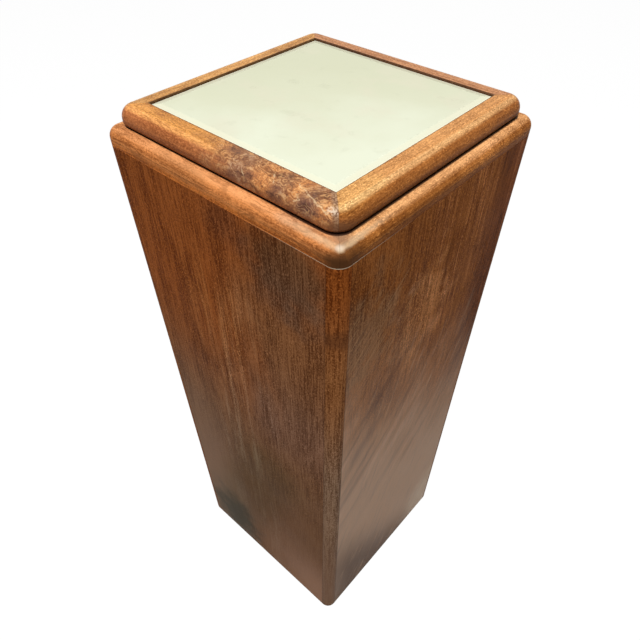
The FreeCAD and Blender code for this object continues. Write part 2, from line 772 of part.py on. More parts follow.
def rounded_path(points, radius):
    """Wire of straight runs through points, joined by tangent arcs of one radius."""
    edges = []
    start = points[0]
    for before, corner, after in zip(points, points[1:], points[2:]):
        to_before = (before - corner).normalize()
        to_after = (after - corner).normalize()
        half_angle = to_before.getAngle(to_after) / 2
        reach = radius / math.tan(half_angle)
        bisector = (to_before + to_after).normalize()
        middle = corner + bisector * (radius / math.sin(half_angle) - radius)
        enter = corner + to_before * reach
        leave = corner + to_after * reach
        edges.append(Part.LineSegment(start, enter).toShape())
        edges.append(Part.Arc(enter, middle, leave).toShape())
        start = leave
    edges.append(Part.LineSegment(start, points[-1]).toShape())
    return Part.Wire(edges)


def lead_and_clips(nodes, panel):
    """Lead from the lampholder, down the back panel to the switch, held by nailed clips."""
    depth = panel_thickness + lead_offset
    start = point(0, 0, shelf_top + wiring_chamber_height)
    level_run = shelf_level - lead_drop
    end_height = switch_can_diameter / 2 - lead_end_in_can
    end = along_back(depth, end_height, switch_level)
    slope = math.cos(math.radians(lean_angle))
    corner = along_back(depth, end_height + (level_run - end.z) / slope, switch_level)
    route = [start, point(0, 0, level_run), corner, end]
    bend = min(lead_bend, corner.y / 2 - least_flat, lead_drop - least_flat)
    path = rounded_path(route, bend)
    section = Part.Wire(Part.makeCircle(lead_diameter / 2, start, UP))
    nodes["lamp_lead"] = path.makePipeShell([section], True, False)
    clips = []
    nails = []
    straight = (level_run - bend - end.z) / slope
    for index in range(clip_count):
        along = end_height + straight * (index + 1) / (clip_count + 1)
        clip, nail, hole = lead_clip(along)
        panel = panel.cut(on_back(hole, switch_level))
        clips.append(on_back(clip, switch_level))
        nails.append(on_back(nail, switch_level))
    nodes["lead_clips"] = Part.makeCompound(clips)
    nodes["clip_nails"] = Part.makeCompound(nails)
    return panel


def lead_clip(along):
    """Clip round the lead with an ear beside it, the nail through the ear, and the nail's hole."""
    inner_face = -panel_thickness
    middle = inner_face - lead_offset
    radius = lead_diameter / 2 + clip_wall
    ear_face = inner_face - clip_ear_thickness
    ear_end = radius + clip_ear_length
    low = along - clip_height / 2
    outline = [(-radius, inner_face), (-radius, middle), (radius, middle), (radius, ear_face),
               (ear_end, ear_face), (ear_end, inner_face)]
    face = outline_face(outline, {1: (0, middle - radius)}, lambda x, y: point(x, y, low))
    clip = face.extrude(point(0, 0, clip_height))
    lead_hole = Part.makeCylinder(lead_diameter / 2 + lead_hole_clearance, clip_height, point(0, middle, low))
    nail_place = radius + clip_ear_length / 2
    head = ear_face - clip_nail_head_height
    tip = head + clip_nail_length
    shank = clip_nail_diameter / 2
    nail = outward_turned([(0, head), (clip_nail_head_diameter / 2, head),
                           (clip_nail_head_diameter / 2, ear_face), (shank, ear_face),
                           (shank, tip - clip_nail_diameter), (0, tip)])
    hole = outward_cylinder(clip_nail_diameter + 2 * joint_clearance, ear_face, tip + joint_clearance)
    for shape in (nail, hole):
        shape.translate(point(nail_place, 0, along))
    return clip.cut([lead_hole, hole]), nail, hole


def pedestal():
    nodes = {}
    lift_off_frame(nodes)
    glass_top(nodes)
    column(nodes)
    base(nodes)
    lamp_shelf(nodes)
    lampholder(nodes)
    bulb(nodes)
    turn_switch(nodes)
    cord_inlet(nodes)
    bored_panel = back_panel_holes(nodes["panel_back"])
    nodes["panel_back"] = lead_and_clips(nodes, bored_panel)
    return nodes


def as_solids(shape):
    """The shape's solids: one solid by itself, or a group of separate ones."""
    solids = shape.Solids
    return solids[0] if len(solids) == 1 else Part.makeCompound(solids)


os.makedirs("parts", exist_ok=True)
for node, shape in pedestal().items():
    as_solids(shape).exportStep("parts/" + node + ".step")
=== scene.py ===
import math

import bpy
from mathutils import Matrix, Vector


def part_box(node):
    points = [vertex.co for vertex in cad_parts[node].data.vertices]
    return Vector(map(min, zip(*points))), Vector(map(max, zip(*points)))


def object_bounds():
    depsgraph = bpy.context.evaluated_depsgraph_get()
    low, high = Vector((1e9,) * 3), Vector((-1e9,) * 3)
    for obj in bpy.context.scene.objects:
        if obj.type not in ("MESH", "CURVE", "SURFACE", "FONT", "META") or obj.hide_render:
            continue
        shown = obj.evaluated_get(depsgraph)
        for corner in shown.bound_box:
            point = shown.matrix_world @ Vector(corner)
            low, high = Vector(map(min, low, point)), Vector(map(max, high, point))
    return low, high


# Looks of the lighted display pedestal: lacquered walnut, pale glass and the lamp's fittings,
# on a white floor. Lengths are in metres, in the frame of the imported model: +Z up, front to -Y.

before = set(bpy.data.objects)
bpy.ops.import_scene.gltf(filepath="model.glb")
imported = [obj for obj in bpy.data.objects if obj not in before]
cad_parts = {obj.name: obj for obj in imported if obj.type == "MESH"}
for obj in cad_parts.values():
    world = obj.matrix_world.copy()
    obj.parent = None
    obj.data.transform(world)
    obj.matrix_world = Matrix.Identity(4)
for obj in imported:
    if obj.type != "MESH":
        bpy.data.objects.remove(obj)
cad_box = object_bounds()

SIDES = ("front", "right", "back", "left")
CORNERS = ("front_right", "back_right", "back_left", "front_left")
GRAIN_OF_SIDE = {"front": "x", "right": "y", "back": "x", "left": "y"}

# Levels and widths that the finishes follow
TOP = cad_box[1].z
FRAME_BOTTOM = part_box("top_frame_rail_front")[0].z
RIM_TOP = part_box("rim_rail_front")[1].z
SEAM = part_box("panel_front")[1].z
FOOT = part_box("panel_front")[0].z
FRAME_HALF = -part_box("top_frame_rail_front")[0].y
FRAME_CORNER = 0.016
GLASS_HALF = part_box("glass_top")[1].x
GLASS_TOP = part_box("glass_top")[1].z
GLASS_GAP = 0.0006
SEAM_HALF = -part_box("panel_front")[0].y
FRONT_POINTS = [point.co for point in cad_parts["panel_front"].data.vertices]
FOOT_HALF = max(-point.y for point in FRONT_POINTS if point.z < FOOT + 1e-4)
LEAN = (SEAM_HALF - FOOT_HALF) / (SEAM - FOOT)
POST_SIZE = FOOT_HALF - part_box("corner_post_front_right")[0].x

# The photograph's view
IMAGE_WIDTH = 640
FOCAL_PIXELS = 582
SENSOR_WIDTH = 36.0
VIEW_AZIMUTH = 41.86
VIEW_ELEVATION = 44.22
CAMERA_PLACE = (0.363, -0.410, 0.999)

# Order of the axes that puts the grain first
GRAIN_ORDER = {"x": (0, 1, 2), "y": (1, 0, 2), "z": (2, 0, 1)}
WHITE = (1.0, 1.0, 1.0, 1.0)

# Places of the colour sockets on a mix node
MIX_FIRST = 6
MIX_SECOND = 7
MIX_RESULT = 2


def tone(red, green, blue):
    """Colour as it looks on a screen, from 0 to 255, as linear light."""
    def linear(value):
        share = value / 255
        return share / 12.92 if share <= 0.04045 else ((share + 0.055) / 1.055) ** 2.4
    return linear(red), linear(green), linear(blue), 1.0


def scaled(colour, shares):
    """Colour whose red, green and blue are each multiplied by a share."""
    return tuple(part * share for part, share in zip(colour, shares)) + (1.0,)


def gain(target, origin):
    """What multiplies one colour to turn it into another."""
    return tuple(there / here for there, here in zip(target, origin))


class Nodes:
    """A node tree with short calls for what its users share."""

    def __init__(self, tree):
        self.tree = tree

    def add(self, kind, **settings):
        """New node of a kind, with its settings."""
        node = self.tree.nodes.new(kind)
        for setting, value in settings.items():
            setattr(node, setting, value)
        return node

    def feed(self, socket, value):
        """Link a socket to another one, or set its value."""
        if isinstance(value, bpy.types.NodeSocket):
            self.tree.links.new(value, socket)
        else:
            socket.default_value = value

    def parts(self, vector):
        """A vector's x, y and z."""
        node = self.add("ShaderNodeSeparateXYZ")
        self.feed(node.inputs[0], vector)
        return node.outputs[0], node.outputs[1], node.outputs[2]

    def joined(self, x, y, z):
        """The vector of three values."""
        node = self.add("ShaderNodeCombineXYZ")
        for socket, value in zip(node.inputs, (x, y, z)):
            self.feed(socket, value)
        return node.outputs[0]

    def maths(self, operation, first, second=0.0, third=0.0):
        node = self.add("ShaderNodeMath", operation=operation)
        for socket, value in zip(node.inputs, (first, second, third)):
            self.feed(socket, value)
        return node.outputs[0]

    def plus(self, first, second):
        return self.maths("ADD", first, second)

    def times(self, first, second):
        return self.maths("MULTIPLY", first, second)

    def size(self, value):
        return self.maths("ABSOLUTE", value)

    def vectors(self, operation, first, second):
        node = self.add("ShaderNodeVectorMath", operation=operation)
        self.feed(node.inputs[0], first)
        self.feed(node.inputs[1], second)
        return node.outputs["Value" if operation in ("DISTANCE", "DOT_PRODUCT") else "Vector"]

    def noise(self, vector, per_metre, detail=2.0, roughness=0.5, distortion=0.0, colour=False):
        """Soft noise from 0 to 1, with so many waves in a metre along each axis."""
        node = self.add("ShaderNodeTexNoise")
        self.feed(node.inputs["Vector"], self.vectors("MULTIPLY", vector, per_metre))
        self.feed(node.inputs["Scale"], 1.0)
        self.feed(node.inputs["Detail"], detail)
        self.feed(node.inputs["Roughness"], roughness)
        self.feed(node.inputs["Distortion"], distortion)
        return node.outputs["Color" if colour else "Fac"]

    def bands(self, value, per_metre, detail=3.0, roughness=0.6):
        """Uneven bands along one value."""
        node = self.add("ShaderNodeTexNoise", noise_dimensions="1D")
        self.feed(node.inputs["W"], self.times(value, per_metre))
        self.feed(node.inputs["Scale"], 1.0)
        self.feed(node.inputs["Detail"], detail)
        self.feed(node.inputs["Roughness"], roughness)
        return node.outputs["Fac"]

    def rise(self, value, start, end, low=0.0, high=1.0):
        """Smooth change from low to high as a value goes from start to end."""
        node = self.add("ShaderNodeMapRange", interpolation_type="SMOOTHSTEP")
        for socket, number in zip(node.inputs, (value, start, end, low, high)):
            self.feed(socket, number)
        return node.outputs[0]

    def ramp(self, value, *stops):
        """Colour of a value between stops, each a position and its colour."""
        node = self.add("ShaderNodeValToRGB")
        elements = node.color_ramp.elements
        for position, colour in stops[1:-1]:
            elements.new(position).color = colour
        for element, (position, colour) in ((elements[0], stops[0]), (elements[-1], stops[-1])):
            element.position = position
            element.color = colour
        self.feed(node.inputs[0], value)
        return node.outputs[0]

    def mix(self, share, first, second, blend="MIX"):
        """A share of the second colour over the first."""
        node = self.add("ShaderNodeMix", data_type="RGBA", blend_type=blend)
        self.feed(node.inputs[0], share)
        self.feed(node.inputs[MIX_FIRST], first)
        self.feed(node.inputs[MIX_SECOND], second)
        return node.outputs[MIX_RESULT]

    def seen_directly(self):
        """1 for rays from the camera and off or through glossy surfaces, else 0."""
        path = self.add("ShaderNodeLightPath")
        either = self.maths("MAXIMUM", path.outputs["Is Camera Ray"], path.outputs["Is Glossy Ray"])
        return self.maths("MAXIMUM", either, path.outputs["Is Transmission Ray"])


class Finish(Nodes):
    """A material's nodes. Places are object coordinates."""

    PATCH_WAVES = (45, 45, 45)
    PATCH_CORE = 0.25
    BAND_CORE = 0.2
    BAND_WAVES = 120
    BAND_WAVER = 0.006

    def __init__(self, name):
        self.material = bpy.data.materials.new(name)
        self.material.use_nodes = True
        super().__init__(self.material.node_tree)
        self.shader = self.tree.nodes["Principled BSDF"]
        self.place = self.add("ShaderNodeTexCoord").outputs["Object"]
        self.x, self.y, self.z = self.parts(self.place)

    def warped(self, per_metre, reach):
        """The place, pushed about by soft noise."""
        push = self.noise(self.place, (per_metre, per_metre, per_metre), detail=3.0, colour=True)
        push = self.vectors("SUBTRACT", push, (0.5, 0.5, 0.5))
        return self.vectors("ADD", self.place, self.vectors("MULTIPLY", push, (reach, reach, reach)))

    def patch(self, centre, reach, ragged=0.5, share=1.0):
        """Soft patch round a place: a share in its core and 0 past its reach, with a ragged outline."""
        away = self.vectors("DIVIDE", self.vectors("SUBTRACT", self.place, centre), reach)
        distance = self.vectors("DISTANCE", away, (0.0, 0.0, 0.0))
        edge = self.plus(self.noise(self.place, self.PATCH_WAVES, detail=3.0), -0.5)
        uneven = self.maths("MULTIPLY_ADD", edge, 2 * ragged, distance)
        return self.rise(uneven, 1.0, self.PATCH_CORE, 0.0, share)

    def band(self, start, end, width, share=1.0):
        """Soft wavering line between two places."""
        length = math.dist(start, end)
        way = tuple((b - a) / length for a, b in zip(start, end))
        offset = self.vectors("SUBTRACT", self.warped(self.BAND_WAVES, self.BAND_WAVER), start)
        along = self.vectors("DOT_PRODUCT", offset, way)
        along = self.maths("MINIMUM", self.maths("MAXIMUM", along, 0.0), length)
        nearest = self.vectors("MULTIPLY", self.joined(along, along, along), way)
        aside = self.vectors("DISTANCE", offset, nearest)
        return self.rise(aside, width, self.BAND_CORE * width, 0.0, share)

    def streak(self, start, end, width, share=1.0):
        """Thin wavering line between two places, broken here and there."""
        whole = self.rise(self.noise(self.place, (300, 300, 300)), 0.25, 0.5)
        return self.times(self.band(start, end, width, share), whole)

    def slanting(self, across, slope, waves, **settings):
        """Noise in lines that move across by a slope as they rise.

        It has so many waves in a metre across and up.
        """
        leaned = self.maths("MULTIPLY_ADD", self.z, -slope, across)
        waves_across, waves_up = waves
        return self.noise(self.joined(leaned, 0.0, self.z), (waves_across, 1, waves_up), **settings)

    def bump(self, height, depth, strength=1.0):
        """Fine relief of a height from 0 to 1 and a depth in metres."""
        node = self.add("ShaderNodeBump")
        self.feed(node.inputs["Strength"], strength)
        self.feed(node.inputs["Distance"], depth)
        self.feed(node.inputs["Height"], height)
        self.feed(self.shader.inputs["Normal"], node.outputs[0])

    def close(self, colour, roughness, others=None):
        """Feed the shader's colour, roughness and other named sockets, and hand back the material."""
        self.feed(self.shader.inputs["Base Color"], colour)
        self.feed(self.shader.inputs["Roughness"], roughness)
        for name, value in (others or {}).items():
            self.feed(self.shader.inputs[name], value)
        return self.material


class Wood(Finish):
    """Timber with its grain along one axis: growth rings, fibres, short pores and soft drifts of colour.

    The weights say how much each part of the figure changes the colour. Waves are so many in a metre
    along the grain and across it.
    """

    DARK_SHARES = (0.50, 0.42, 0.36)
    LIGHT_SHARES = (1.42, 1.52, 1.62)
    GLINT_SHARES = (1.9, 2.1, 2.3)
    SEED_STEPS = (3.1, 1.7, 2.3)
    RING_SEED_STEP = 0.71
    HEART = (0.0, 0.05, 0.3)
    BEND_REACH = 0.012
    BEND_WAVES = (4, 14, 14)
    FIBRE_WAVES = (22, 620, 620)
    PORE_WAVES = (260, 900, 900)
    GLINT_WAVES = (380, 800, 800)
    SPECK_WAVES = (520, 760, 760)
    CLOUD_WAVES = (9, 26, 26)
    CURL_WAVES = (120, 18, 18)

    def __init__(self, name, grain, seed, middle, ring_width=0.005, rings=0.5, fibres=1.0, grit=1.0,
                 drift=0.6, curl=0.3, pores=0.5, glints=0.4):
        super().__init__(name)
        self.middle = middle
        self.dark = scaled(middle, self.DARK_SHARES)
        light = scaled(middle, self.LIGHT_SHARES)
        glint = scaled(middle, self.GLINT_SHARES)
        axes = (self.x, self.y, self.z)
        ordered = self.joined(*(axes[index] for index in GRAIN_ORDER[grain]))
        placed = self.vectors("ADD", ordered, tuple(step * seed for step in self.SEED_STEPS))
        warp = self.noise(placed, self.BEND_WAVES, detail=3.0, colour=True)
        warp = self.vectors("SUBTRACT", warp, (0.5, 0.5, 0.5))
        bend = self.vectors("MULTIPLY", warp, (0.0, self.BEND_REACH, self.BEND_REACH))
        bent = self.vectors("ADD", placed, bend)
        across_grain = self.vectors("MULTIPLY", self.vectors("ADD", ordered, bend), (0.0, 1.0, 1.0))
        from_heart = self.vectors("DISTANCE", across_grain, self.HEART)
        seeded = self.plus(from_heart, self.RING_SEED_STEP * seed)
        growth = self.bands(seeded, 1 / ring_width, detail=4.0, roughness=0.62)
        self.fibres = self.noise(bent, self.FIBRE_WAVES, detail=3.0, roughness=0.6)
        self.pores = self.rise(self.noise(bent, self.PORE_WAVES, detail=1.0), 0.55, 0.68)
        # Painted glints: pale specks in a lighter tone, standing in for light sparkling off the lacquer
        bright = self.rise(self.noise(bent, self.GLINT_WAVES, detail=1.0, distortion=0.4), 0.58, 0.70)
        specks = self.noise(bent, self.SPECK_WAVES, detail=1.0)
        clouds = self.noise(placed, self.CLOUD_WAVES, detail=3.0)
        curls = self.noise(bent, self.CURL_WAVES, detail=2.0)
        total = 0.5
        parts = ((growth, rings), (self.fibres, fibres), (specks, grit), (clouds, drift), (curls, curl))
        for part, weight in parts:
            total = self.plus(total, self.times(self.plus(part, -0.5), weight))
        self.colour = self.ramp(total, (0.15, self.dark), (0.5, middle), (0.85, light))
        self.tint(self.times(self.pores, pores), self.dark)
        # Lay the painted glints over the wood
        self.tint(self.times(bright, glints), glint)

    def tint(self, share, colour, blend="MIX"):
        """Lay a share of a colour over the wood."""
        self.colour = self.mix(share, self.colour, colour, blend)

    def shift(self, share, target, origin=None):
        """Move the wood's middle tone, or another one, to a target with the grain kept."""
        self.tint(share, gain(target, origin or self.middle), "MULTIPLY")

    def lacquered(self, roughness=0.3, specular=0.03, grain_depth=0.0001):
        """Thin lacquer that follows the grain, with cloudier places where hands polish or dull it."""
        handling = self.noise(self.place, (18, 18, 18), detail=3.0)
        uneven = self.plus(self.times(self.plus(handling, -0.5), 0.22), self.times(self.pores, 0.12))
        relief = self.plus(self.times(self.fibres, 0.5), self.times(self.pores, -0.6))
        self.bump(relief, grain_depth, 0.5)
        return self.close(self.colour, self.plus(uneven, roughness), {"Specular IOR Level": specular})


CREAM = tone(232, 208, 176)
# Near-black brown: dark joint lines at the mitres and posts, and painted shade in the gap and at the glass
# opening
DARK_JOINT_AND_SHADE = tone(38, 18, 18)
RAW_WOOD = tone(196, 160, 112)
DARK_RESIN = tone(34, 20, 14)
LIGHT_RESIN = tone(66, 38, 24)

# Half the width of the dark line at a mitre
MITRE_LINE = 0.0005
# How closely the lines of the figure follow each other
RAIL_LINES = 55.0
BURL_LINES = 75.0


def mitre_distance(wood):
    """How far a place on a square of rails lies from the nearest diagonal, where two rails meet."""
    uneven = wood.maths("SUBTRACT", wood.size(wood.x), wood.size(wood.y))
    return wood.times(wood.size(uneven), math.sqrt(0.5))


def mitre_line(wood, share):
    """Thin dark line where two rails meet."""
    wood.tint(wood.rise(mitre_distance(wood), MITRE_LINE, 0.2 * MITRE_LINE, 0.0, share), DARK_JOINT_AND_SHADE)


def near_corner(half, inset, level):
    """Place at a level, a little inside the near corner of a square."""
    return half - inset, inset - half, level


def outside_frame(wood):
    """How far a place lies outside the frame's rounded square outline, below 0 inside it."""
    middle = FRAME_HALF - FRAME_CORNER
    folded = wood.vectors("ABSOLUTE", wood.place, (0.0, 0.0, 0.0))
    past = wood.vectors("SUBTRACT", folded, (middle, middle, TOP))
    past = wood.vectors("MAXIMUM", past, (0.0, 0.0, 0.0))
    return wood.plus(wood.vectors("DISTANCE", past, (0.0, 0.0, 0.0)), -FRAME_CORNER)


def arches(wood, side, colour, share):
    """Long arched lines along a rail, as in timber sawn beside the heart."""
    scale = (9, 75, 75) if GRAIN_OF_SIDE[side] == "x" else (75, 9, 75)
    drawn = wood.rise(wood.noise(wood.place, (35, 35, 35), detail=2.0), 0.40, 0.58)
    levels = wood.noise(wood.warped(22, 0.016), scale, detail=1.5)
    contours = wood.maths("SINE", wood.times(levels, RAIL_LINES))
    wood.tint(wood.times(drawn, wood.rise(contours, 0.1, 1.0, 0.0, share)), colour)


def burl(wood):
    """Burl on the near half of the front rail: plum and orange clouds, swirling lines and pale wisps."""
    ragged = wood.plus(wood.noise(wood.place, (40, 40, 40), detail=3.0), -0.5)
    here = wood.rise(wood.maths("MULTIPLY_ADD", ragged, 0.12, wood.x), -0.04, 0.03)
    swirled = wood.warped(45, 0.022)
    clouds = wood.noise(swirled, (75, 120, 120), detail=6.0, roughness=0.68)
    grit = wood.noise(wood.place, (650, 650, 650), detail=1.0)
    shade = wood.plus(clouds, wood.times(wood.plus(grit, -0.5), 0.3))
    middle = tone(172, 117, 79)
    colours = wood.ramp(shade, (0.34, tone(98, 66, 52)), (0.45, tone(154, 105, 75)),
                        (0.54, tone(190, 127, 81)), (0.66, tone(234, 180, 126)))
    plum = tone(108, 82, 74)
    orange = tone(212, 138, 82)
    # Colour, middle, reach and share of each patch
    patches = (
        (plum, (0.028, -0.1350, 0.7590), 0.030, 0.55),
        (plum, (0.076, -0.1355, 0.7590), 0.018, 0.55),
        (plum, (0.108, -0.1390, 0.7560), 0.020, 0.85),
        (orange, (0.058, -0.1365, 0.7590), 0.022, 0.7),
        (orange, (0.092, -0.1330, 0.7612), 0.016, 0.6),
        (orange, (0.120, -0.1405, 0.7530), 0.016, 0.7),
    )
    for colour, centre, reach, share in patches:
        patch = wood.patch(centre, (reach, reach, reach), 0.8, share)
        colours = wood.mix(patch, colours, gain(colour, middle), "MULTIPLY")
    levels = wood.noise(swirled, (42, 60, 60), detail=2.5)
    contours = wood.maths("SINE", wood.times(levels, BURL_LINES))
    drawn = wood.rise(wood.noise(wood.place, (90, 90, 90), detail=2.0), 0.40, 0.56)
    pale_lines = wood.times(drawn, wood.rise(contours, 0.55, 1.0, 0.0, 0.55))
    dark_lines = wood.times(drawn, wood.rise(contours, -0.45, -1.0, 0.0, 0.6))
    colours = wood.mix(pale_lines, colours, tone(236, 182, 124))
    colours = wood.mix(dark_lines, colours, tone(110, 68, 46))
    # Painted shade: darker towards the burl's lower edge
    lower = wood.rise(wood.z, FRAME_BOTTOM + 0.010, FRAME_BOTTOM + 0.003, 0.0, 0.5)
    colours = wood.mix(lower, colours, tone(158, 92, 50))
    wood.tint(wood.times(here, 0.9), colours)
    # Start, end and width of each wisp
    wisps = (
        ((0.088, -0.1280, 0.7620), (0.108, -0.1340, 0.7607), 0.0009),
        ((0.108, -0.1340, 0.7607), (0.127, -0.1384, 0.7575), 0.0012),
        ((0.092, -0.1350, 0.7603), (0.098, -0.1386, 0.7572), 0.0009),
        ((0.098, -0.1386, 0.7572), (0.094, -0.1400, 0.7540), 0.0008),
        ((0.034, -0.1382, 0.7577), (0.038, -0.1401, 0.7549), 0.0008),
        ((0.064, -0.1300, 0.7619), (0.069, -0.1365, 0.7590), 0.0009),
    )
    for start, end, width in wisps:
        wood.tint(wood.streak(start, end, width, 0.6), tone(246, 212, 166))
    speckled = wood.ramp(grit, (0.35, tone(104, 78, 60)), (0.65, tone(196, 160, 128)))
    near_end = wood.times(wood.rise(mitre_distance(wood), 0.0060, 0.0020), wood.rise(wood.x, 0.0, 0.05))
    wood.tint(wood.times(near_end, 0.7), speckled)
    # Painted highlight: a pale mottled spot on the round by the mitre
    corner_highlight = wood.patch((0.1285, -0.1355, 0.7590), (0.007, 0.007, 0.004), 0.9, 0.8)
    wood.tint(wood.times(corner_highlight, wood.rise(grit, 0.35, 0.60)), tone(240, 218, 192))


def frame_rail(side):
    """Bullnosed rail: painted highlight along the top of its round, painted shade below it and in the gap,
    dark at the glass with painted shade and dirt.
    """
    # Seed, middle tone, painted highlight on the top of the round, painted light on the level top, and
    # painted shade on the underside
    looks = {
        "front": (2.0, tone(187, 112, 64), tone(236, 164, 94), tone(216, 147, 76), tone(146, 82, 42)),
        "right": (5.0, tone(168, 102, 48), tone(222, 166, 108), tone(212, 148, 88), tone(106, 60, 26)),
        "back": (7.0, tone(190, 126, 80), tone(220, 162, 112), tone(208, 146, 100), tone(150, 92, 52)),
        "left": (9.0, tone(194, 128, 70), tone(234, 178, 108), tone(224, 164, 96), tone(150, 92, 46)),
    }
    seed, middle, crown_highlight, flat_top_light, deep = looks[side]
    pores, glints = (0.3, 0.7) if side == "right" else (0.5, 0.4)
    wood = Wood("walnut_frame_" + side, GRAIN_OF_SIDE[side], seed, middle, pores=pores, glints=glints)
    # Painted light and shade: a highlight over the top of the round, a little less on the level top, shade
    # on the underside
    wood.shift(wood.rise(wood.z, TOP - 0.0042, TOP - 0.0012), crown_highlight)
    wood.shift(wood.rise(wood.z, TOP - 0.0008, TOP - 0.0001), flat_top_light, crown_highlight)
    wood.shift(wood.rise(wood.z, FRAME_BOTTOM + 0.009, FRAME_BOTTOM + 0.002), deep)
    arches(wood, side, deep, 0.15 if side == "right" else 0.4)
    if side == "front":
        burl(wood)
    if side == "right":
        # Lighter golden patch near the front end of the right rail: wear and a painted highlight
        golden = wood.patch((0.130, -0.112, TOP), (0.03, 0.05, 0.008), 0.6, 0.6)
        wood.shift(golden, tone(232, 174, 104), flat_top_light)
    corner = near_corner(FRAME_HALF, 0.005, FRAME_BOTTOM + 0.005)
    wood.tint(wood.patch(corner, (0.018, 0.018, 0.009), 0.4, 0.8), tone(124, 82, 54))
    mitre_line(wood, 0.3)
    # Painted shade in the gap along the rail's lower edge
    wood.tint(wood.rise(wood.z, FRAME_BOTTOM + 0.0014, FRAME_BOTTOM + 0.0004, 0.0, 0.9), DARK_JOINT_AND_SHADE)
    # Dark along the glass opening: painted shade on the inner wall and dirt along its edge
    across = wood.y if side in ("front", "back") else wood.x
    opening = GLASS_HALF + GLASS_GAP
    wood.tint(wood.rise(wood.size(across), opening + 0.0018, opening + 0.0004, 0.0, 0.85), DARK_JOINT_AND_SHADE)
    return wood.lacquered(roughness=0.28)


def rim_rail(side):
    """Round-edged rail: painted highlight along the top of its round outside the gap's painted shade, and
    painted highlights round the near corner and along its seam.
    """
    # Seed, middle tone, painted highlight on the top of the round, underside tone (painted shade, except on
    # the front rail) and length of the painted highlight along the arris
    looks = {
        "front": (12.0, tone(207, 128, 70), tone(214, 142, 88), tone(234, 136, 62), 0.12),
        "right": (15.0, tone(176, 108, 50), tone(218, 156, 100), tone(148, 86, 38), 0.11),
        "back": (18.0, tone(186, 116, 58), tone(216, 150, 92), tone(156, 90, 42), 0.03),
        "left": (21.0, tone(200, 124, 64), tone(220, 150, 92), tone(180, 106, 50), 0.03),
    }
    seed, middle, crown_highlight, deep, arris_highlight_length = looks[side]
    curl, glints = (0.7, 0.8) if side == "right" else (0.3, 0.4)
    wood = Wood("walnut_rim_" + side, GRAIN_OF_SIDE[side], seed, middle, ring_width=0.0035, rings=1.0,
                drift=1.0, curl=curl, pores=0.3, glints=glints)
    # Painted light and shade: a highlight over the top of the round, shade on the underside except at the
    # front
    wood.shift(wood.rise(wood.z, RIM_TOP - 0.0055, RIM_TOP - 0.0012), crown_highlight)
    wood.shift(wood.rise(wood.z, SEAM + 0.009, SEAM + 0.002), deep)
    arches(wood, side, tone(140, 80, 40), 0.15 if side == "right" else 0.45)
    if side == "front":
        lines = wood.noise(wood.place, (16, 420, 420), detail=3.0, roughness=0.6)
        lines = wood.times(wood.rise(lines, 0.52, 0.62, 0.0, 0.5), wood.rise(wood.x, 0.03, 0.10))
        low = wood.rise(wood.z, SEAM + 0.015, SEAM + 0.007)
        wood.tint(wood.times(lines, low), tone(128, 70, 34))
        greyer = wood.patch((0.110, -0.148, RIM_TOP), (0.06, 0.014, 0.008), 0.6, 0.5)
        wood.shift(greyer, tone(186, 138, 104), crown_highlight)
        browner = wood.patch((-0.030, -0.149, RIM_TOP - 0.006), (0.055, 0.020, 0.014), 0.6, 0.8)
        wood.shift(browner, tone(178, 110, 60))
    if side == "right":
        darker = wood.patch((SEAM_HALF, -0.045, SEAM + 0.010), (0.02, 0.075, 0.014), 0.6, 0.7)
        wood.shift(darker, tone(146, 86, 38))
        lighter = wood.patch((SEAM_HALF, 0.055, SEAM + 0.012), (0.02, 0.050, 0.010), 0.6, 0.7)
        wood.shift(lighter, tone(206, 132, 68))
    corner = near_corner(SEAM_HALF, 0.003, SEAM + 0.004)
    wood.tint(wood.patch(corner, (0.034, 0.034, 0.022), 0.5), tone(96, 60, 34))
    # Painted highlights: pale bands along the top of the round each side of the near corner, fading away
    # from it, and a near-white spot where they meet
    highlight_level = RIM_TOP - 0.0016
    bend = near_corner(SEAM_HALF, 0.0055, highlight_level)
    from_corner = wood.vectors("DISTANCE", wood.place, near_corner(SEAM_HALF, 0.0, SEAM))
    highlight_fade = wood.rise(from_corner, 0.085, 0.02)
    front_highlight = wood.band((0.06, -SEAM_HALF + 0.004, highlight_level), bend, 0.0045, 0.45)
    right_highlight = wood.band(bend, (SEAM_HALF - 0.004, -0.06, highlight_level), 0.0045, 0.6)
    for highlight_band in (front_highlight, right_highlight):
        wood.tint(wood.times(highlight_band, highlight_fade), tone(238, 206, 164))
    wood.tint(wood.patch(bend, (0.009, 0.007, 0.004), 0.9, 0.55), tone(250, 236, 220))
    # Painted shade on the rim's top beside the frame's near corner, below the gap
    beside_frame = near_corner(FRAME_HALF, 0.003, RIM_TOP)
    wood.tint(wood.patch(beside_frame, (0.015, 0.015, 0.004), 0.5, 0.75), tone(164, 126, 98))
    mitre_line(wood, 0.25)
    # Painted highlight along the lower arris at the seam, fading with distance from the near corner
    arris = wood.rise(wood.z, SEAM + 0.0014, SEAM + 0.0006)
    wood.tint(wood.times(arris, wood.rise(from_corner, arris_highlight_length, 0.0)), tone(246, 222, 190))
    # Painted shade in the gap, on the rim's top under and just outside the frame's outline, reaching
    # further out towards the right
    outside = outside_frame(wood)
    wider = wood.rise(wood.x, 0.05, 0.11, 0.0, 0.0016)
    from_shadow = wood.maths("SUBTRACT", outside, wider)
    wood.tint(wood.rise(from_shadow, -0.0008, -0.0022, 0.0, 0.9), DARK_JOINT_AND_SHADE)
    wood.tint(wood.rise(outside, -0.0100, -0.0130), RAW_WOOD)
    return wood.lacquered(roughness=0.28, specular=0.012)


def column_face(wood):
    """Distance of the column's leaning faces from its middle, at a place's height."""
    return wood.maths("MULTIPLY_ADD", wood.plus(wood.z, -FOOT), LEAN, FOOT_HALF)


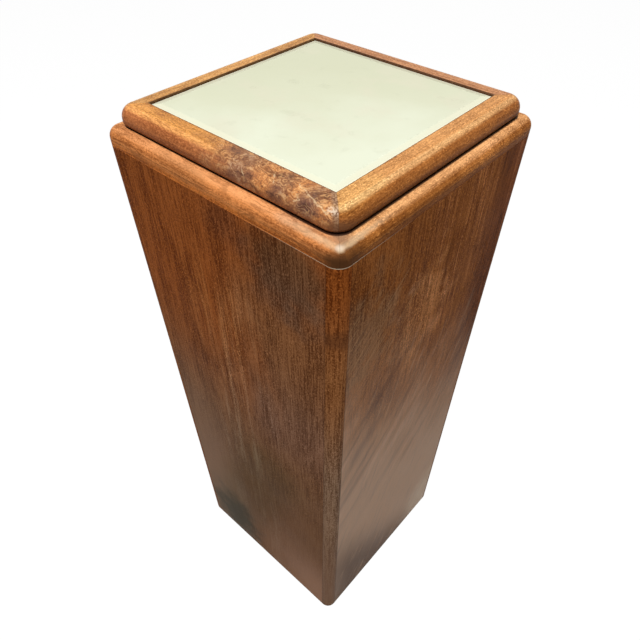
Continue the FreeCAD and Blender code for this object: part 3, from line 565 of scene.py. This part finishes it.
def front_figure(wood):
    """Dark heartwood under the rim, a greyer half by the near post, golden streaks down the middle,
    and a painted reflection that dulls and greys the lower half and fades its grain, with a dark sweep.
    """
    ragged = wood.plus(wood.noise(wood.place, (22, 22, 8), detail=4.0), -0.5)
    by_post = wood.rise(wood.maths("MULTIPLY_ADD", ragged, 0.12, wood.x), -0.02, 0.07)
    upper = wood.times(wood.rise(wood.z, 0.72, 0.60, 0.0, 0.85), wood.rise(wood.z, 0.34, 0.52))
    wood.shift(wood.times(by_post, upper), tone(148, 98, 61))
    wood.shift(wood.patch((0.095, -0.15, 0.690), (0.070, 0.06, 0.080), 0.4, 0.85), tone(122, 82, 52))
    wood.shift(wood.patch((0.018, -0.15, 0.705), (0.040, 0.06, 0.035), 0.4, 0.6), tone(132, 76, 44))
    # Painted reflection of the floor: duller, greyer wood over the lower half
    dull = tone(140, 97, 65)
    wood.shift(wood.rise(wood.z, 0.60, 0.32), dull)
    golden = wood.slanting(wood.x, 0.0, (55, 4), detail=4.0, roughness=0.6)
    golden = wood.times(wood.rise(golden, 0.44, 0.66), wood.rise(wood.z, 0.68, 0.56))
    from_middle = wood.size(wood.plus(wood.x, 0.008))
    wood.shift(wood.times(golden, wood.rise(from_middle, 0.08, 0.01)), tone(196, 122, 66))
    # More painted reflection: greyer towards the foot, paler along the far edge and at the near foot
    wood.tint(wood.rise(wood.z, 0.46, 0.18, 0.0, 0.65), tone(132, 91, 61))
    far_edge = wood.times(wood.rise(wood.x, 0.0, -0.10), wood.rise(wood.z, 0.50, 0.16))
    wood.tint(wood.times(far_edge, 0.45), tone(192, 156, 130))
    near_foot = wood.times(wood.rise(wood.x, -0.04, 0.12), wood.rise(wood.z, 0.20, 0.03))
    wood.tint(wood.times(near_foot, 0.6), tone(204, 154, 124))
    sweep = wood.band((0.035, -0.145, 0.31), (-0.085, -0.141, 0.05), 0.085, 0.9)
    wood.shift(sweep, tone(120, 86, 55), dull)
    dark_foot = wood.patch((-0.070, -0.142, 0.055), (0.075, 0.06, 0.105), 0.5, 0.9)
    wood.shift(dark_foot, tone(84, 66, 46), dull)


def right_figure(wood):
    """A darker far edge, a greyer near edge, upright streaks high up, and a painted reflection of the
    floor, a pale haze over the lower half with slanting streaks, above a foot in painted shade, dark
    towards the near post.
    """
    far = wood.times(wood.rise(wood.y, 0.065, 0.125), wood.rise(wood.z, 0.30, 0.50))
    wood.shift(far, tone(128, 70, 33))
    greyer = wood.patch((0.15, -0.110, 0.62), (0.06, 0.07, 0.09), 0.8, 0.55)
    wood.shift(greyer, tone(146, 108, 76))
    brighter = wood.patch((0.149, -0.015, 0.585), (0.06, 0.060, 0.090), 0.9, 0.6)
    wood.shift(brighter, tone(212, 142, 88))
    upright = wood.slanting(wood.y, 0.0, (90, 5), detail=3.0, roughness=0.6)
    high = wood.times(wood.rise(wood.z, 0.50, 0.62), wood.rise(wood.y, -0.05, 0.02))
    wood.shift(wood.times(wood.rise(upright, 0.50, 0.66, 0.0, 0.8), high), tone(196, 124, 72))
    wood.shift(wood.times(wood.rise(upright, 0.48, 0.34, 0.0, 0.7), high), tone(122, 68, 30))
    # Painted reflection of the floor: a pale haze over the lower half, rising higher towards the near edge
    drift = wood.plus(wood.noise(wood.place, (14, 14, 9), detail=4.0), -0.5)
    height = wood.maths("MULTIPLY_ADD", wood.y, 0.65, wood.z)
    height = wood.maths("MULTIPLY_ADD", drift, 0.16, height)
    wood.tint(wood.rise(height, 0.60, 0.24, 0.0, 0.86), tone(232, 195, 166))
    # Painted shade at the foot, reaching higher by the near post
    sloped = wood.maths("MULTIPLY_ADD", wood.y, 0.9, wood.z)
    foot = wood.times(wood.rise(sloped, 0.15, 0.0, 0.0, 0.9), wood.rise(wood.y, -0.135, -0.09, 0.7, 1.0))
    wood.tint(foot, tone(126, 100, 84))
    # Painted reflection: a pale patch at the far foot
    wood.tint(wood.patch((0.141, 0.120, 0.04), (0.1, 0.080, 0.11), 0.3, 0.8), tone(248, 220, 192))
    streaks = wood.slanting(wood.y, 0.35, (130, 14), detail=4.0, roughness=0.6, distortion=0.3)
    pale_streaks = wood.times(wood.rise(streaks, 0.54, 0.70, 0.0, 0.4), wood.rise(wood.z, 0.62, 0.45))
    dark_streaks = wood.times(wood.rise(streaks, 0.46, 0.30, 0.0, 0.5), wood.rise(wood.z, 0.66, 0.50))
    wood.tint(pale_streaks, tone(226, 186, 152))
    wood.shift(dark_streaks, tone(132, 78, 38))
    broad = wood.slanting(wood.y, 0.9, (32, 9), detail=4.0, distortion=0.5)
    hazy = wood.times(wood.rise(wood.z, 0.62, 0.50), wood.rise(wood.z, 0.16, 0.42))
    wood.shift(wood.times(wood.rise(broad, 0.50, 0.34, 0.0, 0.55), hazy), tone(122, 72, 36))
    wood.shift(wood.times(wood.rise(broad, 0.52, 0.68, 0.0, 0.5), hazy), tone(172, 104, 52))
    scratches = wood.slanting(wood.y, 1.1, (330, 28), detail=3.0, distortion=0.3)
    scratched = wood.patch((0.15, -0.085, 0.60), (0.08, 0.09, 0.12), 0.6)
    wood.tint(wood.times(wood.rise(scratches, 0.53, 0.66, 0.0, 0.5), scratched), tone(206, 160, 116))
    wood.shift(wood.times(wood.rise(scratches, 0.47, 0.34, 0.0, 0.6), scratched), tone(116, 72, 38))


def panel(side):
    """Veneered panel: fine upright grain outside, bare wood inside, a dark line along the posts."""
    # Seed and middle tone
    looks = {
        "front": (31.0, tone(157, 85, 38)),
        "right": (34.0, tone(155, 91, 43)),
        "back": (37.0, tone(160, 94, 45)),
        "left": (40.0, tone(160, 90, 43)),
    }
    seed, middle = looks[side]
    wood = Wood("walnut_panel_" + side, "z", seed, middle, fibres=2.4, grit=1.5, drift=1.2, curl=0.05,
                pores=0.2, glints=0.8)
    if side == "front":
        front_figure(wood)
    elif side == "right":
        right_figure(wood)
    else:
        # Painted reflection of the floor: paler towards the foot
        wood.tint(wood.rise(wood.z, 0.50, 0.05, 0.0, 0.4), tone(196, 160, 134))
    across, outward = (wood.x, wood.y) if side in ("front", "back") else (wood.y, wood.x)
    face = column_face(wood)
    from_post = wood.maths("SUBTRACT", wood.plus(face, -POST_SIZE), wood.size(across))
    wood.tint(wood.rise(from_post, 0.0010, 0.0003, 0.0, 0.5), DARK_JOINT_AND_SHADE)
    depth = wood.maths("SUBTRACT", face, wood.size(outward))
    wood.tint(wood.rise(depth, 0.0012, 0.0018), RAW_WOOD)
    return wood.lacquered(roughness=0.38, specular=0.005)


def corner_post(corner):
    """Quarter-round post, more orange than the panels; a painted reflection greys the near one towards the
    foot and makes the others browner lower down.
    """
    seeds = dict(zip(CORNERS, (51.0, 53.0, 55.0, 57.0)))
    wood = Wood("walnut_post_" + corner, "z", seeds[corner], tone(148, 78, 31), fibres=2.4, grit=1.6,
                curl=0.05, pores=0.15, glints=0.8)
    if corner == "front_right":
        upper = tone(150, 95, 54)
        # Painted reflection of the floor: greyer and paler towards the foot
        low = tone(146, 112, 86)
        wood.shift(wood.rise(wood.z, 0.72, 0.58), upper)
        wood.shift(wood.rise(wood.z, 0.58, 0.38), low, upper)
        wood.tint(wood.rise(wood.z, 0.36, 0.06, 0.0, 0.75), tone(150, 113, 88))
        wood.tint(wood.patch((0.145, -0.145, 0.64), (0.03, 0.03, 0.016), 0.7, 0.5), tone(84, 50, 32))
    else:
        # A milder painted reflection: lighter, browner wood lower down
        wood.shift(wood.rise(wood.z, 0.72, 0.40), tone(152, 92, 46))
    return wood.lacquered(roughness=0.38, specular=0.005)


BARE_FIGURE = {"rings": 0.3, "fibres": 0.5, "drift": 0.3, "curl": 0.1}
BARE_SURFACE = {"roughness": 0.65, "specular": 0.2, "grain_depth": 0.0002}


def raw_wood(name, grain, seed):
    """Planed timber without a finish."""
    wood = Wood(name, grain, seed, RAW_WOOD, **BARE_FIGURE)
    return wood.lacquered(**BARE_SURFACE)


def plywood():
    """Pale board whose plies show as bands on its edges."""
    two_plies = 0.004
    wood = Wood("plywood", "x", 61.0, RAW_WOOD, ring_width=0.02, **BARE_FIGURE)
    plies = wood.maths("SINE", wood.times(wood.z, 2 * math.pi / two_plies))
    wood.tint(wood.rise(plies, -0.2, 0.2, 0.0, 0.35), wood.dark)
    return wood.lacquered(**BARE_SURFACE)


def pale_glass():
    """Pale green glass with painted light, brighter towards the near corner, painted highlights along its
    bevel and outer edge, and faint smudges.
    """
    glass = Finish("pale_glass")
    # Painted light: brighter towards the near corner
    light_toward_near = glass.rise(glass.maths("SUBTRACT", glass.x, glass.y), -2 * GLASS_HALF, 2 * GLASS_HALF)
    clouds = glass.plus(glass.noise(glass.place, (14, 14, 14), detail=5.0), -0.5)
    shade = glass.plus(light_toward_near, glass.times(clouds, 0.7))
    colour = glass.ramp(shade, (0.1, tone(221, 223, 191)), (0.5, tone(226, 228, 198)),
                        (0.9, tone(238, 242, 217)))
    blush = glass.rise(glass.noise(glass.place, (20, 20, 20), detail=3.0), 0.5, 0.7, 0.0, 0.35)
    colour = glass.mix(blush, colour, tone(233, 226, 200))
    smudges = glass.rise(glass.noise(glass.place, (60, 60, 60), detail=4.0), 0.58, 0.75)
    colour = glass.mix(glass.times(smudges, 0.2), colour, tone(196, 198, 172))
    # Painted highlights: paler along the bevel and the outer edge
    bevel = glass.rise(glass.z, GLASS_TOP - 0.00005, GLASS_TOP - 0.0003)
    colour = glass.mix(glass.times(bevel, 0.6), colour, tone(242, 240, 212))
    outward = glass.maths("MAXIMUM", glass.size(glass.x), glass.size(glass.y))
    edge = glass.rise(outward, GLASS_HALF - 0.0022, GLASS_HALF - 0.0012)
    colour = glass.mix(edge, colour, tone(253, 247, 220))
    roughness = glass.plus(glass.times(smudges, 0.15), 0.15)
    return glass.close(colour, roughness, {"Specular IOR Level": 0.12})


def metal(name, colour, roughness, grain=(300, 300, 300)):
    """Metal with a drawn or turned surface and a little tarnish."""
    made = Finish(name)
    lines = made.noise(made.place, grain, detail=3.0)
    tarnish = made.noise(made.place, (90, 90, 90), detail=3.0)
    dulled = scaled(colour, (0.45, 0.45, 0.45))
    shaded = made.mix(made.rise(tarnish, 0.5, 0.75, 0.0, 0.45), colour, dulled)
    made.bump(lines, 0.00004, 0.4)
    return made.close(shaded, made.plus(made.times(lines, 0.25), roughness), {"Metallic": 1.0})


def porcelain():
    """White glaze with faint clouds."""
    glaze = Finish("porcelain")
    clouds = glaze.noise(glaze.place, (70, 70, 70), detail=4.0)
    colour = glaze.ramp(clouds, (0.35, tone(214, 206, 190)), (0.6, tone(240, 236, 226)))
    glaze.bump(clouds, 0.0001, 0.3)
    return glaze.close(colour, glaze.plus(glaze.times(clouds, 0.12), 0.1), {"Coat Weight": 0.5})


def moulded(name, dark, light, roughness, index_middle=None):
    """Moulded resin with a faint flow pattern and, on a knob, a pale index line up from its middle."""
    made = Finish(name)
    flow = made.noise(made.place, (60, 60, 60), detail=4.0, distortion=1.5)
    texture = made.noise(made.place, (900, 900, 900), detail=2.0)
    made.bump(texture, 0.00005, 0.4)
    colour = made.ramp(flow, (0.35, dark), (0.65, light))
    if index_middle is not None:
        beside = made.rise(made.size(made.x), 0.0010, 0.0006)
        above = made.rise(made.z, index_middle + 0.0010, index_middle + 0.0016)
        colour = made.mix(made.times(beside, above), colour, CREAM)
    return made.close(colour, made.plus(made.times(texture, 0.2), roughness))


def felt():
    """Dark pressed felt with short hairs."""
    made = Finish("felt")
    hairs = made.noise(made.place, (700, 700, 700), detail=5.0, roughness=0.7, distortion=1.0)
    made.bump(hairs, 0.0003)
    colour = made.ramp(hairs, (0.35, tone(44, 38, 34)), (0.65, tone(88, 78, 70)))
    return made.close(colour, 0.95, {"Sheen Weight": 0.4})


def clear_rubber():
    """Soft pads that let some light through."""
    made = Finish("clear_rubber")
    clouds = made.noise(made.place, (200, 200, 200), detail=3.0)
    colour = made.ramp(clouds, (0.3, tone(214, 214, 206)), (0.7, tone(238, 238, 232)))
    return made.close(colour, made.plus(made.times(clouds, 0.2), 0.3), {"Transmission Weight": 0.4})


def frosted_bulb():
    """White bulb glass with a fine frosted grain."""
    made = Finish("frosted_bulb")
    grain = made.noise(made.place, (900, 900, 900), detail=2.0)
    clouds = made.noise(made.place, (30, 30, 30), detail=3.0)
    made.bump(grain, 0.00003, 0.3)
    colour = made.ramp(clouds, (0.3, tone(232, 230, 222)), (0.7, tone(248, 247, 242)))
    return made.close(colour, made.plus(made.times(grain, 0.2), 0.3), {"Transmission Weight": 0.35})


def dress(material, *names):
    """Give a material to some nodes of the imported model."""
    for name in names:
        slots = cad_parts[name].data.materials
        slots.clear()
        slots.append(material)


def dress_wood():
    for side in SIDES:
        grain = GRAIN_OF_SIDE[side]
        dress(frame_rail(side), "top_frame_rail_" + side)
        dress(rim_rail(side), "rim_rail_" + side)
        dress(panel(side), "panel_" + side)
        dress(raw_wood("raw_cleat_" + side, grain, 63.0), "locating_cleat_" + side)
        dress(raw_wood("raw_batten_" + side, grain, 66.0), "bottom_batten_" + side)
    for corner in CORNERS:
        dress(corner_post(corner), "corner_post_" + corner)
    dress(raw_wood("raw_shelf_batten", "y", 69.0), "shelf_batten_right", "shelf_batten_left")
    dress(raw_wood("raw_joinery", "z", 72.0), "top_frame_splines", "rim_splines", "rim_dowels")
    dress(plywood(), "bottom_board", "lamp_shelf")


def dress_fittings():
    steel = metal("steel", tone(176, 176, 172), 0.25)
    nickel = metal("nickel", tone(206, 200, 186), 0.18, (100, 100, 1500))
    brass = metal("brass", tone(206, 168, 92), 0.22, (100, 100, 1500))
    dress(pale_glass(), "glass_top")
    dress(felt(), "felt_bumpers")
    dress(clear_rubber(), "glass_pads")
    dress(steel, "cleat_screws", "bottom_screws", "shelf_screws", "lampholder_screws", "clip_nails")
    dress(nickel, "glides", "switch_ring_nut")
    dress(porcelain(), "lampholder_body")
    dress(brass, "lampholder_shell", "lampholder_contact", "bulb_cap", "bulb_tip_contact")
    dress(brass, "switch_neck", "switch_shaft")
    dress(moulded("black_glass", tone(14, 14, 16), tone(30, 30, 34), 0.05), "bulb_insulator")
    dress(frosted_bulb(), "bulb_envelope")
    dress(moulded("clear_stem", tone(196, 204, 200), tone(226, 230, 226), 0.1), "bulb_filament_mount")
    dress(moulded("brown_resin", DARK_RESIN, LIGHT_RESIN, 0.15), "switch_can")
    knob_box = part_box("switch_knob")
    knob_middle = (knob_box[0].z + knob_box[1].z) / 2
    dress(moulded("knob_resin", DARK_RESIN, LIGHT_RESIN, 0.15, knob_middle), "switch_knob")
    dress(moulded("black_nylon", tone(20, 20, 20), tone(40, 38, 36), 0.35), "cord_inlet_bush", "lead_clips")
    dress(moulded("lead_jacket", tone(84, 60, 42), tone(120, 90, 66), 0.5), "lamp_lead")


def white_floor():
    """Pale floor that takes the object's shadow and looks white where nothing shades it."""
    half = 8.0
    own = 0.12
    glow = 0.93
    mesh = bpy.data.meshes.new("floor")
    corners = [(-half, -half, 0), (half, -half, 0), (half, half, 0), (-half, half, 0)]
    mesh.from_pydata(corners, [], [(0, 1, 2, 3)])
    floor = bpy.data.objects.new("floor", mesh)
    bpy.context.scene.collection.objects.link(floor)
    paint = Finish("pale_floor")
    paint.feed(paint.shader.inputs["Emission Color"], WHITE)
    paint.feed(paint.shader.inputs["Emission Strength"], paint.times(paint.seen_directly(), glow))
    mesh.materials.append(paint.close((own, own, own, 1.0), 1.0, {"Specular IOR Level": 0.0}))


def white_world():
    """Even light from all round, which looks white behind the object."""
    world = bpy.data.worlds.new("studio")
    world.use_nodes = True
    bpy.context.scene.world = world
    sky = Nodes(world.node_tree)
    background = sky.tree.nodes["Background"]
    sky.feed(background.inputs["Color"], WHITE)
    light = 0.22
    brightness = 1.0
    strength = sky.rise(sky.seen_directly(), 0.0, 1.0, light, brightness)
    sky.feed(background.inputs["Strength"], strength)


def soft_lamp(name, azimuth, elevation, distance, size, power):
    """Square lamp that looks at the object from a side and a height; azimuth 0 is in front, at -Y."""
    lamp = bpy.data.lights.new(name, "AREA")
    lamp.shape = "SQUARE"
    lamp.size = size
    lamp.energy = power
    made = bpy.data.objects.new(name, lamp)
    bpy.context.scene.collection.objects.link(made)
    turn = math.radians(azimuth)
    lift = math.radians(elevation)
    level = distance * math.cos(lift)
    height = TOP / 2 + distance * math.sin(lift)
    made.location = (level * math.sin(turn), -level * math.cos(turn), height)
    made.rotation_euler = (math.radians(90) - lift, 0, turn)


def photograph_camera():
    """Camera where the photograph was taken from."""
    lens = bpy.data.cameras.new("camera")
    lens.sensor_width = SENSOR_WIDTH
    lens.lens = FOCAL_PIXELS / IMAGE_WIDTH * SENSOR_WIDTH
    camera = bpy.data.objects.new("camera", lens)
    bpy.context.scene.collection.objects.link(camera)
    camera.location = CAMERA_PLACE
    camera.rotation_euler = (math.radians(90 - VIEW_ELEVATION), 0, math.radians(VIEW_AZIMUTH))
    bpy.context.scene.camera = camera


dress_wood()
dress_fittings()
white_floor()
white_world()
soft_lamp("key_lamp", azimuth=35, elevation=66, distance=5.0, size=1.4, power=200)
photograph_camera()
bpy.context.scene.view_settings.view_transform = "Standard"
